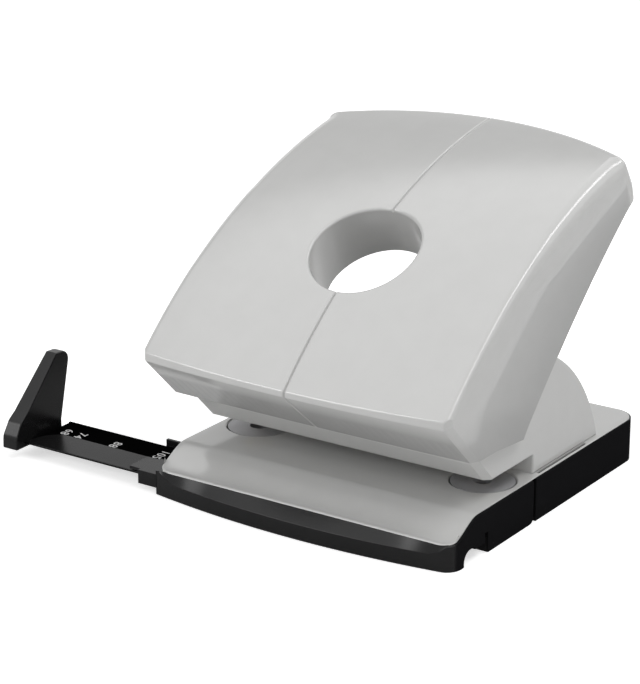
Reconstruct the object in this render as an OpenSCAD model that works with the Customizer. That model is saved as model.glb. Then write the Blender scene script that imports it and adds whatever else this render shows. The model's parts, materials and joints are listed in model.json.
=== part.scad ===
// Two-hole desk punch with a tall hand lever, a chip tray that swings down
// and a pull-out stop rail. X runs along the paper edge, Y from the paper
// side to the rear and Z up; the origin is the centre of the underside.

/* [Holes and paper] */
// Distance between the two punched holes
hole_spacing = 80; // [70:0.5:84]
// Diameter of the punched holes
hole_d = 5.5; // [5:0.1:6]
// Distance from the paper edge to the hole centres
paper_depth = 12; // [11:0.5:13]
// Height of the slot that the paper goes into
slot_h = 6; // [5:0.1:6.5]
// Y position of the line through the two holes
punch_y = -17.1; // [-18:0.1:-16.5]

/* [Base] */
// Width of the base
base_w = 104.6; // [104:0.1:112]
// Length of the base from front to rear at the middle
base_l = 116.2; // [114:0.2:124]
// Height of the base's side walls
base_h = 13.4; // [13:0.1:14]
// Wall of the base and of the tray
base_wall = 1.8; // [1.4:0.1:2]
// Floor of the base and of the tray
floor_t = 1.4; // [1.2:0.1:1.6]
// Radius of the rear corners
rear_r = 8; // [6:0.5:10]
// Radius of the bowed front seen from above
front_bow_r = 300; // [260:10:400]
// Height of the sharp ridge along the front
ridge_h = 5; // [4.5:0.1:5.5]
// Length of the sloping strip in front of the paper plate
nose_l = 4.6; // [4:0.1:5]
// Length of the tray from the front to its seam
tray_l = 50.6; // [50:0.1:52]
// Width of the seam between tray and rear base
seam_w = 1; // [0.8:0.1:1.2]

// Radius of the front corners
front_r = 5; // [4:0.1:5.5]

/* [Paper plate] */
// Thickness of the paper plate
plate_t = 2; // [1.6:0.1:2.2]
// Height of the paper plate's top over the table
plate_z = 13.7; // [13.4:0.1:14.2]
// Height of the paper plate's front edge
plate_front_z = 8.4; // [8:0.1:9]
// Length of the S-curve at the front of the paper plate
plate_curve_l = 14; // [12:0.5:16]
// Radius of the round die windows in the paper plate
window_r = 9.9; // [9:0.1:10.5]

/* [Housing] */
// Width of the housing
housing_w = 100; // [98:0.1:100]
// Wall of the housing
housing_wall = 2.2; // [1.8:0.1:2.4]
// Length of the jaw in front of the hole line
jaw_l = 13.2; // [12:0.1:13.5]
// Height of the jaw's 45 degree front
jaw_front_h = 7.6; // [7:0.1:7.8]
// Radius of the rounded rear
fin_r = 55.9; // [55:0.1:57]
// Height of the housing's rear shoulder over the table
shoulder_z = 46.9; // [46:0.1:47.5]

/* [Lever] */
// Width of the lever
lever_w = 106; // [105.4:0.1:107]
// Wall of the lever cover
lever_wall = 2.2; // [1.8:0.1:2.3]
// Radius of the lever's curved back, seen from the side
lever_r = 191.6; // [188:0.2:196]
// Drop of the crowned back from the middle to the sides
lever_crown = 1.4; // [1:0.1:3]
// Radius of the rounding between back and sides
lever_side_r = 3; // [3:0.5:5]
// Radius of the finger hole
hole_r = 17; // [14:0.5:18]
// Depth of the finger hole's collar
hole_depth = 18; // [12:0.5:18]
// Width of the groove down the middle
groove_w = 1; // [0.6:0.1:1.4]
// Distance from the lever axle forward to rear, to the hole line
axle_arm = 19.9; // [19.5:0.1:20.2]
// Height of the lever axle
axle_z = 40; // [39.5:0.1:40.5]
// Radius of the lever axle
axle_r = 2.5; // [2:0.1:3]
// Angle that the lever swings down
lever_swing = 23; // [20:0.5:23]

/* [Punches] */
// Radial clearance of each punch in its guide
punch_clear = 0.05; // [0.02:0.01:0.08]
// Outer diameter of the guide bushes
guide_d = 9; // [8.5:0.1:9.5]
// Diameter of the bar that presses the punches down
press_d = 7; // [6:0.5:8]
// Wire diameter of the return springs
spring_wire = 0.8; // [0.6:0.05:0.9]
// Turns of each return spring
spring_turns = 5; // [4:1:5]

/* [Stop rail] */
// Distance from the middle of the punch to the stop's inner face
stop_x = 105; // [95:0.5:110]
// Width of the rail
rail_w = 22.2; // [20:0.2:23]
// Thickness of the rail
rail_t = 1.8; // [1.5:0.1:2]
// Height of the rail's top over the table
rail_z = 5; // [4.9:0.1:5.1]
// Thickness of the stop plate
stop_t = 4.5; // [3:0.1:5]

/* [Hidden] */
$fn = 64;
// Gap between moving pieces
run = 0.3;
// Gap between fitted pieces
fit = 0.1;
// Small overlap that makes cuts run through
eps = 1;

grey = [0.80, 0.80, 0.79];
black = [0.07, 0.07, 0.08];
steel = [0.62, 0.63, 0.65];

half_x = hole_spacing / 2;
base_front = -base_l / 2;
base_rear = base_l / 2;
inner_w = base_w - 2 * base_wall;
seam_y = base_front + tray_l;
plate_front = base_front + nose_l;
plate_half = inner_w / 2 - run;
plate_under = plate_z - plate_t;
slot_back = punch_y + paper_depth;
slot_top = plate_z + slot_h;
frame_t = 2;
die_t = 2;
die_front = punch_y - 12;
foot_l = 24;
left_r = 1.5;
screw_r = 1.5;

// ---- shared outlines ----

// Extrudes a (Y, Z) outline along X, centred on the middle plane
module along_x(w) { rotate([90, 0, 90]) linear_extrude(w, center = true) children(); }

// Points on an arc, from angle a0 to a1
function arc(c, r, a0, a1, n = 12) =
    [for (i = [0:n]) [c[0] + r * cos(a0 + (a1 - a0) * i / n), c[1] + r * sin(a0 + (a1 - a0) * i / n)]];

// Smooth step from 0 to 1
function smooth(t) = t * t * (3 - 2 * t);

// Height of the paper plate's top at y
function plate_top(y) =
    y > plate_front + plate_curve_l ? plate_z
    : plate_front_z + (plate_z - plate_front_z) * smooth((y - plate_front) / plate_curve_l);

// Rounded rectangle from y0 to y1, with front and rear corner radii
module plan_round(w, y0, y1, rf, rr) {
    translate([-w / 2, y0 + rf]) square([w, y1 - y0 - rf - rr]);
    translate([-w / 2 + rf, y0]) square([w - 2 * rf, rf + 1]);
    translate([-w / 2 + rr, y1 - rr - 1]) square([w - 2 * rr, rr + 1]);
    for (s = [-1, 1]) {
        translate([s * (w / 2 - rf), y0 + rf]) circle(rf);
        translate([s * (w / 2 - rr), y1 - rr]) circle(rr);
    }
}

// Outline of the base in plan, drawn in by i: bowed front, round corners
module base_plan(i = 0) {
    middle = base_w / 2 - front_r;
    corner_y0 = base_front + middle * middle / (2 * front_bow_r);
    intersection() {
        union() {
            plan_round(base_w - 2 * i, corner_y0 + i, base_rear - i, front_r - i, rear_r - i);
            translate([-middle, base_front - eps]) square([2 * middle, base_l / 2]);
            // the left corner, beside the rail, is sharper
            translate([i - base_w / 2 + left_r, corner_y0 + i + left_r]) circle(left_r);
            translate([i - base_w / 2 + left_r, corner_y0 + i]) square([front_r, base_l / 2]);
            translate([i - base_w / 2, corner_y0 + i + left_r]) square([front_r, base_l / 2]);
        }
        translate([0, base_front + front_bow_r]) circle(front_bow_r - i, $fn = 360);
    }
}

// ---- base ----
foot_r = 5;
foot_t = 1;
foot_x = base_w / 2 - 10.3;
rear_row = base_rear - 12.1;
foot_spots = [for (y = [slot_back + 17.1, rear_row]) for (s = [-1, 1]) [s * foot_x, y]];
boss_r = 4;
screw_x = half_x - 10;
screw_spots = [for (y = [slot_back + 13.1, rear_row]) for (s = [-1, 1]) [s * screw_x, y]];
head_t = 1.8;
head_up = 0.7;
hinge_y = seam_y - 1.7;
hinge_z = 2.2;
hinge_r = 1.2;
tab_t = 2.8;
tab_x = inner_w / 2 - run - tab_t / 2;
pan_front = seam_y + seam_w / 2;

module base_pan() {
    color(black) difference() {
        union() {
            difference() {
                linear_extrude(base_h) base_plan();
                translate([0, 0, floor_t]) linear_extrude(base_h) base_plan(base_wall);
                translate([-base_w, base_front - eps, -eps])
                    cube([2 * base_w, pan_front - base_front + eps, base_h + 2 * eps]);
            }
            for (p = screw_spots) translate([p[0], p[1], 0]) cylinder(r = boss_r, h = plate_under - die_t);
            for (p = foot_spots) translate([p[0], p[1], 0]) cylinder(r = foot_r + 1.5, h = foot_t + 1);
            // arms that carry the tray's hinge
            for (s = [-1, 1]) translate([s * tab_x, 0, hinge_z]) hinge_arm();
        }
        for (p = screw_spots) translate([p[0], p[1], 0]) screw_hole();
        for (p = foot_spots) translate([p[0], p[1], -eps]) cylinder(r = foot_r + fit, h = foot_t + eps);
        for (s = [-1, 1]) translate([s * tab_x, hinge_y, hinge_z])
            rotate([0, 90, 0]) cylinder(r = hinge_r + 0.05, h = tab_t + 2 * eps, center = true);
    }
}

module hinge_arm() {
    arm_r = hinge_z - 0.3;
    rotate([0, 90, 0]) translate([0, hinge_y, -tab_t / 2]) cylinder(r = arm_r, h = tab_t);
    translate([-tab_t / 2, hinge_y, -arm_r]) cube([tab_t, pan_front + 6 - hinge_y, 2 * arm_r]);
}

// Through hole with a counterbore for the screw's head, from below
module screw_hole() {
    translate([0, 0, -eps]) cylinder(r = screw_r + fit, h = base_h);
    translate([0, 0, -eps]) cylinder(r = 2 * screw_r + fit, h = head_up + head_t + eps);
}

module rubber_feet() {
    color([0.15, 0.15, 0.16]) for (p = foot_spots)
        translate([p[0], p[1], 0]) cylinder(r = foot_r, h = foot_t);
}

module frame_screws() {
    color(steel) for (p = screw_spots) translate([p[0], p[1], 0]) {
        translate([0, 0, head_up]) cylinder(r = 2 * screw_r, h = head_t);
        translate([0, 0, head_up + head_t - fit])
            cylinder(r = screw_r, h = plate_under - head_up - head_t + fit);
    }
}

// ---- chip tray ----
tray_rear = seam_y - seam_w / 2;
recess_depth = 13;
holder_gap = 0.6;

// Outline of the tray's side wall: S-curve on top, rounded toe at the hinge
tray_side = concat(
    [[plate_front - run, 0]],
    [for (i = [0:10]) let (y = plate_front - run + (plate_curve_l + run) * i / 10)
        [y, plate_top(max(y, plate_front)) - run]],
    [[tray_rear - 1, base_h], [tray_rear, base_h - 1], [tray_rear, 2]],
    arc([tray_rear - 2, 2], 2, 0, -90, 6));

// Finger recess and latch slot in the foot of the right wall
recess_front = base_front + 10.6;
recess_l = 13.2;
recess_h = 4.4;
latch_z = 3.5;
recess_outline = concat(
    arc([recess_front + 3.2, recess_h - 3.2], 3.2, 180, 90, 6),
    [[recess_front + 6, recess_h], [recess_front + 6, latch_z], [recess_front + recess_l, latch_z],
     [recess_front + recess_l, -eps], [recess_front, -eps]]);

module chip_tray() {
    color(black) {
        difference() {
            union() {
                intersection() {
                    linear_extrude(base_h) base_plan();
                    along_x(2 * base_w) polygon(tray_side);
                }
                tray_nose();
            }
            // hollow inside, open towards the punches
            translate([0, 0, floor_t]) linear_extrude(base_h)
                plan_round(inner_w, plate_front - run, base_rear, plate_corner_r + run, 1);
            // the floor stops before the hinge
            translate([-inner_w / 2, hinge_y - 0.7, -eps]) cube([inner_w, 20, base_h]);
            for (s = [-1, 1]) translate([s * tab_x, hinge_y, hinge_z]) rotate([0, 90, 0])
                cylinder(r = hinge_z + 0.2, h = tab_t + 2 * run, center = true);
            // way for the rail and its holder in the left wall
            translate([-base_w / 2 - eps, rail_y0 - holder_gap - 1, holder_z0 - run])
                cube([base_wall + 5, rail_w + 6.5 + holder_gap, base_h]);
            recess_cut();
        }
        recess_roof();
        for (s = [-1, 1]) translate([s * (inner_w / 2 - tab_t / 2 - run / 2 + 0.5), hinge_y, hinge_z])
            rotate([0, 90, 0]) cylinder(r = hinge_r, h = tab_t + run + 1, center = true);
    }
}

// Sloping nose between the bowed ridge and the plate's straight edge
module tray_nose() {
    nose_w = base_w - 2 * front_r - 1;
    hull() {
        intersection() {
            linear_extrude(ridge_h) base_plan();
            translate([-base_w, base_front - eps, 0]) cube([2 * base_w, nose_l + eps - run, ridge_h]);
        }
        translate([-nose_w / 2, plate_front - run - 0.4, 0]) cube([nose_w, 0.4, plate_front_z - run]);
    }
}

module recess_cut() {
    translate([(base_w - recess_depth) / 2 + eps, 0, 0]) along_x(recess_depth) polygon(recess_outline);
    // slot behind the latch
    translate([base_w / 2 - base_wall - eps, recess_front + recess_l - 1.8, 0])
        cube([base_wall + 2 * eps, 1.8, recess_h + 2.1]);
}

// Roof and inner walls that keep the chips out of the finger recess
module recess_roof() {
    x0 = base_w / 2 - recess_depth - base_wall;
    y0 = recess_front - base_wall;
    difference() {
        translate([x0, y0, 0]) cube([recess_depth + base_wall / 2, recess_l + 2 * base_wall, recess_h + 1.4]);
        recess_cut();
    }
}

// ---- paper plate ----
notch_y0 = slot_back + 1.6;
notch_l = 29;
plate_corner_r = front_r - 2;
plate_rear = base_rear - base_wall - run;

module cover_plate() {
    top = concat(
        [for (i = [0:14]) let (y = plate_front + plate_curve_l * i / 14) [y, plate_top(y)]],
        [[plate_rear, plate_z], [plate_rear, plate_under]],
        [for (i = [14:-1:0]) let (y = plate_front + 0.6 + (plate_curve_l - 0.6) * i / 14)
            [y, plate_top(y) - plate_t]]);
    color(grey) difference() {
        intersection() {
            along_x(2 * plate_half) polygon(top);
            linear_extrude(2 * base_h)
                plan_round(2 * plate_half, plate_front, plate_rear, plate_corner_r, rear_r - base_wall - run);
        }
        for (s = [-1, 1]) {
            translate([s * half_x, punch_y, 0]) cylinder(r = window_r, h = 2 * base_h);
            translate([s * (plate_half + 0.1), notch_y0 + notch_l / 2, plate_z])
                cube([2 * (plate_half + 0.1 - housing_w / 2), notch_l, 2.4], center = true);
        }
        // way for the steel frame's rear wall
        translate([-frame_w / 2 - run, frame_back - run, 0])
            cube([frame_w + 2 * run, frame_t + 2 * run, 2 * base_h]);
        for (p = screw_spots) translate([p[0], p[1], 0]) cylinder(r = screw_r - 0.05, h = plate_z - 0.6);
    }
}

module die_plate() {
    color(steel) difference() {
        union() {
            translate([-inner_w / 2 + 4, die_front, plate_under - die_t])
                cube([inner_w - 8, frame_back - 2 * fit - die_front, die_t]);
            for (s = [-1, 1]) translate([s * half_x, punch_y, plate_under - die_t])
                cylinder(r = window_r - run, h = die_t + plate_t - 0.2);
        }
        for (s = [-1, 1]) translate([s * half_x, punch_y, plate_under - die_t - eps]) {
            cylinder(r = hole_d / 2 + punch_clear, h = 2 * base_h);
            cylinder(r = hole_d / 2 + 0.5, h = eps + 1.6);
        }
    }
}

// ---- steel frame with guides and axle ----
frame_w = housing_w - 2 * housing_wall - 2 * run;
frame_back = slot_back + housing_wall + run;
roof_front = punch_y - 7;
roof_z = slot_top + housing_wall + fit;
flange_z = roof_z + frame_t + 0.02;
guide_top = roof_z + frame_t + 1.5;
axle_y = punch_y - axle_arm;
ear_x = frame_w / 2 - frame_t / 2;
clip_x = frame_w / 2 + 0.7;

module punch_frame() {
    rear = frame_back + foot_l;
    // the ear rises from the roof's front, round the rear foot, over the guides and round the axle
    ear = [[roof_front, roof_z], [frame_back + frame_t, roof_z], [frame_back + frame_t, plate_z],
           [rear + 2.6, plate_z], [rear - 5.4, plate_z + 12.3], [rear - 17.4, axle_z - 2],
           [punch_y + 8.1, axle_z + 3.5], [punch_y - 4.9, axle_z + 1],
           [axle_y, axle_z + 6], [axle_y - 5.2, axle_z + 3], [axle_y - 6, axle_z],
           [axle_y - 5, axle_z - 4], [axle_y + 2, axle_z - 7], [die_front, axle_z - 10]];
    color(steel) difference() {
        union() {
            translate([-frame_w / 2, frame_back, plate_under - frame_t]) cube([frame_w, foot_l, frame_t]);
            translate([-frame_w / 2, frame_back, plate_under - frame_t])
                cube([frame_w, frame_t, roof_z + frame_t - plate_under + frame_t]);
            translate([-frame_w / 2, roof_front, roof_z])
                cube([frame_w, frame_back + frame_t - roof_front, frame_t]);
            for (s = [-1, 1]) translate([s * ear_x, 0, 0]) along_x(frame_t) polygon(ear);
        }
        for (s = [-1, 1]) translate([s * half_x, punch_y, roof_z - eps])
            cylinder(r = guide_d / 2 + 0.02, h = frame_t + 2 * eps);
        translate([0, axle_y, axle_z]) rotate([0, 90, 0])
            cylinder(r = axle_r + 0.02, h = 2 * frame_w, center = true);
        for (p = screw_spots) translate([p[0], p[1], 0]) cylinder(r = screw_r + fit, h = plate_under + 0.5);
    }
}

module guide_bushes() {
    color([0.72, 0.62, 0.36]) for (s = [-1, 1]) translate([s * half_x, punch_y, 0]) difference() {
        union() {
            translate([0, 0, slot_top + fit]) cylinder(r = guide_d / 2, h = guide_top - slot_top - fit);
            translate([0, 0, flange_z]) cylinder(r = guide_d / 2 + 0.9, h = guide_top - flange_z);
        }
        translate([0, 0, slot_top - eps]) cylinder(r = hole_d / 2 + punch_clear, h = base_w);
    }
}

module pivot_axle() {
    color(steel) translate([0, axle_y, axle_z]) rotate([0, 90, 0]) difference() {
        cylinder(r = axle_r, h = 2 * clip_x + 2, center = true);
        for (s = [-1, 1]) translate([0, 0, s * clip_x]) difference() {
            cylinder(r = axle_r + 1, h = 0.9, center = true);
            cylinder(r = axle_r - 0.5, h = 2 * eps, center = true);
        }
    }
}

module axle_clips() {
    color(steel) for (s = [-1, 1]) translate([s * clip_x, axle_y, axle_z])
        rotate([0, 90, 0]) difference() {
            cylinder(r = axle_r + 2, h = 0.8, center = true);
            cylinder(r = axle_r - 0.45, h = 2 * eps, center = true);
            translate([0, -axle_r, 0]) cube([2 * axle_r - 1.6, 2 * axle_r + 2, 2 * eps], center = true);
        }
}

// ---- housing ----
fin_c = [punch_y - 2.15, -2.7];
jaw_front = punch_y - jaw_l;
bevel_x = 2.3;
bevel_in = 1.5;
fin_a0 = asin((plate_z - fin_c[1]) / fin_r);
fin_a1 = asin((shoulder_z - fin_c[1]) / fin_r);
housing_side = concat(
    [[jaw_front, slot_top], [slot_back, slot_top], [slot_back, plate_z]],
    arc(fin_c, fin_r, fin_a0, fin_a1, 16),
    [[punch_y + 3, shoulder_z - 1], [punch_y - 10.9, shoulder_z - 7],
     [jaw_front - jaw_front_h + 2, slot_top + jaw_front_h + 2],
     [jaw_front - jaw_front_h, slot_top + jaw_front_h]]);

module housing() {
    cavity_w = housing_w - 2 * housing_wall;
    color(grey) difference() {
        along_x(housing_w) polygon(housing_side);
        along_x(cavity_w) offset(delta = -housing_wall) polygon(housing_side);
        // open top below the lever and open underside on the plate
        along_x(cavity_w) polygon([[punch_y - 30, slot_top + 9.8], [punch_y - 30, shoulder_z + 9],
                                   [punch_y + 12.5, shoulder_z + 9], [punch_y + 12.5, slot_top + 9.8]]);
        along_x(cavity_w) polygon([[slot_back + housing_wall, plate_z - eps],
                                   [slot_back + housing_wall, plate_z + 4],
                                   [fin_c[0] + fin_r - 6, plate_z + 4],
                                   [fin_c[0] + fin_r - 4, plate_z - eps]]);
        for (s = [-1, 1]) translate([s * half_x, punch_y, slot_top - eps])
            cylinder(r = guide_d / 2 + 0.2, h = housing_wall + 2 * eps);
        // bevelled corners of the jaw's sloping front
        for (s = [-1, 1]) translate([s * (housing_w / 2 - bevel_x), jaw_front, slot_top]) rotate([45, 0, 0])
            linear_extrude(housing_w / 2, center = true)
                polygon([[0, 0], [2 * s * bevel_x, 2 * bevel_in], [2 * s * bevel_x, -3], [0, -3]]);
    }
}

// ---- lever ----
lever_c = [axle_y + 113.6, -87.5];
lip_y = axle_y - 23.7;
lip_z = 44.3;
apron_y = axle_y - 7.6;
apron_z = 30.2;
lip_bow_r = 280;
corner_x = 1.5;
corner_y = 2.9;
tail_bow_r = 124;
tail_y = axle_y + 96.5;
tail_z = 86.4;
side_half = lever_w / 2;
hole_c = [axle_y + 17.2, 78.1];
hole_tilt = 30.2;

// Height of the lever's back at y, on the middle plane, r inside
function back_z(y, r) = lever_c[1] + sqrt(r * r - (y - lever_c[0]) * (y - lever_c[0]));

// Side outline of the lever: apron, foot, rear edge and tail
lever_side = concat(
    [[lip_y - 4, 75], [lip_y - 4, apron_z], [axle_y + 5, apron_z], [axle_y + 20.4, apron_z - 1.3]],
    [for (i = [0:8]) let (t = i / 8)
        [axle_y + 23.4 + 61.9 * t, 32 + 54.4 * t + 11 * t * (1 - t)]],
    [[axle_y + 100, tail_z], [axle_y + 100, 130]]);

// Cross-section of the crowned back: radius against x, drawn in by i
function crown_profile(i) = let (
        w = side_half - i, f = max(lever_side_r - i, 0.6), steps = 6,
        edge_r = lever_r - i - lever_crown * pow((w - f) / side_half, 2)
    ) concat(
        [[120, -w]],
        [for (k = [3:-1:1]) let (a = 30 * k) [edge_r - f + f * cos(a), -(w - f) - f * sin(a)]],
        [for (k = [-steps:steps]) let (x = (w - f) * k / steps)
            [lever_r - i - lever_crown * pow(x / side_half, 2), x]],
        [for (k = [1:3]) let (a = 30 * k) [edge_r - f + f * cos(a), (w - f) + f * sin(a)]],
        [[120, w]]);

// The crowned back swept round the axis of its curve
module back_sweep(i) {
    translate([0, lever_c[0], lever_c[1]]) rotate([0, 90, 0]) rotate([0, 0, 170])
        rotate_extrude(angle = 75, $fn = 360) polygon(crown_profile(i));
}

// Bowed plan of the lever behind its lip
module lever_plan(front, i) {
    intersection() {
        translate([0, front + lip_bow_r + i]) circle(lip_bow_r, $fn = 360);
        cut_corners(front, 2 * lever_w);
    }
}

// Turned body whose rim gives the bowed tail its rolled, sloping end
module tail_beak(i) {
    r = tail_bow_r - i;
    translate([0, tail_y - tail_bow_r, 0]) rotate_extrude($fn = 360)
        polygon([[0, 0], [r, 0], [r, tail_z + 0.7], [r - 1.1, tail_z + 4.2], [r - 5.5, tail_z + 12.4],
                 [r - 9.8, tail_z + 20.4], [0, tail_z + 20.4]]);
}

// The lever's outer form, drawn in by i
module lever_form(i) {
    intersection() {
        back_sweep(i);
        union() {
            intersection() {
                translate([0, 0, lip_z]) linear_extrude(80) lever_plan(lip_y, i);
                tail_beak(i);
            }
            hull() {
                translate([0, 0, lip_z]) linear_extrude(0.01) front_strip(lip_y + i);
                translate([0, 0, apron_z - 8]) linear_extrude(0.01)
                    front_strip(apron_y + (apron_y - lip_y) * 8 / (lip_z - apron_z) + i);
            }
        }
    }
}

// Bowed strip from the front edge y back to behind the foot
module front_strip(y) {
    intersection() {
        translate([0, y + lip_bow_r]) circle(lip_bow_r, $fn = 120);
        cut_corners(y, axle_y + 60 - y);
    }
}

// Plan from y back over length l, with the narrow slanted strips at its front corners
module cut_corners(y, l) {
    w = side_half - corner_x;
    y1 = y + w * w / (2 * lip_bow_r);
    polygon([[-w, y - 1], [w, y - 1], [w, y1], [side_half, y1 + corner_y], [side_half, y + l],
             [-side_half, y + l], [-side_half, y1 + corner_y], [-w, y1]]);
}

// The finger hole's direction: square to the back
module at_hole() { translate([0, hole_c[0], hole_c[1]]) rotate([hole_tilt, 0, 0]) children(); }

module lever_cover() {
    color(grey) difference() {
        union() {
            difference() {
                intersection() {
                    lever_form(0);
                    along_x(lever_w) polygon(lever_side);
                }
                lever_form(lever_wall);
            }
            intersection() {
                at_hole() translate([0, 0, -hole_depth]) cylinder(r = hole_r + 2, h = hole_depth + 10);
                back_sweep(0.5);
            }
            lever_ribs();
        }
        at_hole() translate([0, 0, -hole_depth - 20]) cylinder(r = hole_r, h = hole_depth + 60);
        // groove down the middle
        translate([0, lever_c[0], lever_c[1]]) rotate([0, 90, 0]) rotate_extrude($fn = 360)
            polygon([[lever_r - 0.8, 0], [lever_r + 1, -groove_w], [lever_r + 1, groove_w]]);
    }
}

// Ribs that stiffen the cover from below, beside and behind the finger hole
module lever_ribs() {
    rib_h = 9;
    rib_t = 1.6;
    intersection() {
        lever_form(1);
        along_x(lever_w) polygon(lever_side);
        difference() {
            union() {
                for (s = [-1, 1]) for (x = [hole_r + 6, hole_r + 19])
                    translate([s * x - rib_t / 2, hole_c[0] + hole_r - 0.2, 0])
                        cube([rib_t, 49, 2 * lever_w]);
                for (y = [hole_c[0] + 28.8, hole_c[0] + 46.8]) translate([-side_half + 1, y, 0])
                    cube([2 * side_half - 2, rib_t, 2 * lever_w]);
            }
            translate([0, lever_c[0], lever_c[1]]) rotate([0, 90, 0])
                cylinder(r = lever_r - rib_h, h = 2 * lever_w, center = true, $fn = 360);
        }
    }
}

arm_x = half_x - 8;
arm_t = 2;
arm_top = 60;
press_a = lever_swing / 2;
press_arm = axle_arm / cos(press_a);
press_y = axle_y + axle_arm;
press_z = axle_z + press_arm * sin(press_a);
web_r = lever_r - lever_wall - 1.4;
web_t = 1.5;
web_reach = 6;

module lever_frame() {
    arm = [[axle_y - 5, axle_z], [axle_y, axle_z - 5], [press_y + 1, press_z - 6],
           [press_y + 5.2, press_z + 1], [press_y + web_reach, press_z + arm_top],
           [axle_y - 8, press_z + arm_top], [axle_y - 8, axle_z + 8]];
    color(steel) difference() {
        union() {
            intersection() {
                for (s = [-1, 1]) translate([s * arm_x, 0, 0]) along_x(arm_t) polygon(arm);
                translate([0, lever_c[0], lever_c[1]]) rotate([0, 90, 0])
                    cylinder(r = web_r, h = 2 * lever_w, center = true, $fn = 360);
            }
            // curved web below the cover
            intersection() {
                translate([0, lever_c[0], lever_c[1]]) rotate([0, 90, 0]) difference() {
                    cylinder(r = web_r, h = 2 * arm_x + 12, center = true, $fn = 360);
                    cylinder(r = web_r - web_t, h = 2 * lever_w, center = true, $fn = 360);
                }
                translate([-side_half, axle_y - 8, apron_z])
                    cube([2 * side_half, press_y + web_reach - axle_y + 8, lever_w]);
            }
            for (s = [-1, 1]) translate([s * arm_x, axle_y, axle_z]) rotate([0, 90, 0])
                cylinder(r = 5, h = 10, center = true);
        }
        at_hole() translate([0, 0, -lever_w]) cylinder(r = hole_r + 3, h = 2 * lever_w);
        translate([0, axle_y, axle_z]) rotate([0, 90, 0])
            cylinder(r = axle_r + 0.05, h = 2 * frame_w, center = true);
        translate([0, press_y, press_z]) rotate([0, 90, 0])
            cylinder(r = press_d / 2 + 0.02, h = 2 * frame_w, center = true);
        for (p = cover_spots) at_cover(p) cylinder(r = screw_r + fit, h = 20, center = true);
    }
}

module press_bar() {
    color(steel) translate([0, press_y, press_z]) rotate([0, 90, 0])
        cylinder(r = press_d / 2, h = 2 * ear_x - frame_t - 2 * run, center = true);
}

// Screws that hold the cover on the steel lever
cover_x = arm_x - 6;
cover_spots = [for (a = [44, 27.5]) for (s = [-1, 1]) [s * cover_x, a]];

// A place on the cover's inside: x and the angle round the back's axis, ahead of vertical
module at_cover(p) {
    translate([p[0], lever_c[0], lever_c[1]]) rotate([p[1], 0, 0]) translate([0, 0, web_r]) children();
}

module cover_screws() {
    color(steel) for (p = cover_spots) at_cover(p) {
        translate([0, 0, -web_t - 1.9]) cylinder(r = 2 * screw_r, h = 1.8);
        translate([0, 0, -web_t - 0.2]) cylinder(r = screw_r, h = web_t + 0.6);
    }
}

// ---- punches ----
head_z = press_z - press_d / 2 - run;
tip_z = slot_top + 0.8;
collar_t = 1.4;
collar_z = head_z - collar_t - 0.2;

module punch(s) {
    color(steel) translate([s * half_x, punch_y, 0]) difference() {
        translate([0, 0, tip_z]) cylinder(r = hole_d / 2, h = head_z - tip_z);
        // hollow-ground tip
        translate([0, 0, tip_z - 0.01]) cylinder(r1 = hole_d / 2 - 0.3, r2 = 0.2, h = 1.2);
    }
}

module collar(s) {
    color(steel) translate([s * half_x, punch_y, collar_z]) difference() {
        cylinder(r = hole_d / 2 + 2, h = collar_t);
        translate([0, 0, -eps]) cylinder(r = hole_d / 2 + 0.02, h = collar_t + 2 * eps);
    }
}

module punch_left() { punch(-1); }
module punch_right() { punch(1); }
module collar_left() { collar(-1); }
module collar_right() { collar(1); }

// Coil spring between the guide's flange and the collar
spring_lo = guide_top + 0.02 + spring_wire / 2;
spring_hi = collar_z - 0.02 - spring_wire / 2;
spring_r = hole_d / 2 + 0.5 + spring_wire;

module coil() {
    rings = spring_turns * 12;
    sides = 6;
    // closed first and last turns, even pitch between them
    function rise(t) = let (n = spring_turns, e = 1.2 * spring_wire / (spring_hi - spring_lo))
        t < 1 / n ? t * n * e
        : t > 1 - 1 / n ? 1 - (1 - t) * n * e
        : e + (1 - 2 * e) * (t - 1 / n) / (1 - 2 / n);
    pts = [for (i = [0:rings]) let (t = i / rings, a = 360 * spring_turns * t)
        for (k = [0:sides - 1]) let (b = 360 * k / sides, r = spring_r + spring_wire / 2 * cos(b))
            [r * cos(a), r * sin(a),
             spring_lo + (spring_hi - spring_lo) * rise(t) + spring_wire / 2 * sin(b)]];
    faces = concat(
        [[for (k = [0:sides - 1]) k]],
        [for (i = [0:rings - 1]) for (k = [0:sides - 1])
            let (a = i * sides + k, b = i * sides + (k + 1) % sides)
            each [[a, a + sides, b], [b, a + sides, b + sides]]],
        [[for (k = [sides - 1:-1:0]) rings * sides + k]]);
    polyhedron(pts, faces);
}

module spring_left() { color(steel) translate([-half_x, punch_y, 0]) coil(); }
module spring_right() { color(steel) translate([half_x, punch_y, 0]) coil(); }

// ---- stop rail ----
rail_y0 = plate_front + 1.6;
rail_in = 0;
holder_z0 = rail_z - rail_t - run - 1;
holder_z1 = rail_z + run + 1;
holder_left = -base_w / 2 - 7.2;
holder_right = 34;
past_end = 20;
holder_open = -base_w / 2 + 4.1;
detent_x = -30;
detent_l = 16;
index_x = -stop_x + 41.4;

module stop_rail() {
    color(black) difference() {
        translate([-stop_x, rail_y0, rail_z - rail_t]) cube([stop_x + rail_in, rail_w, rail_t]);
        // shallow step behind the front strip
        translate([-stop_x + 3, rail_y0 + 11.6, rail_z - 0.3]) cube([stop_x - 4, rail_w - 12.6, 1]);
    }
}

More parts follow.
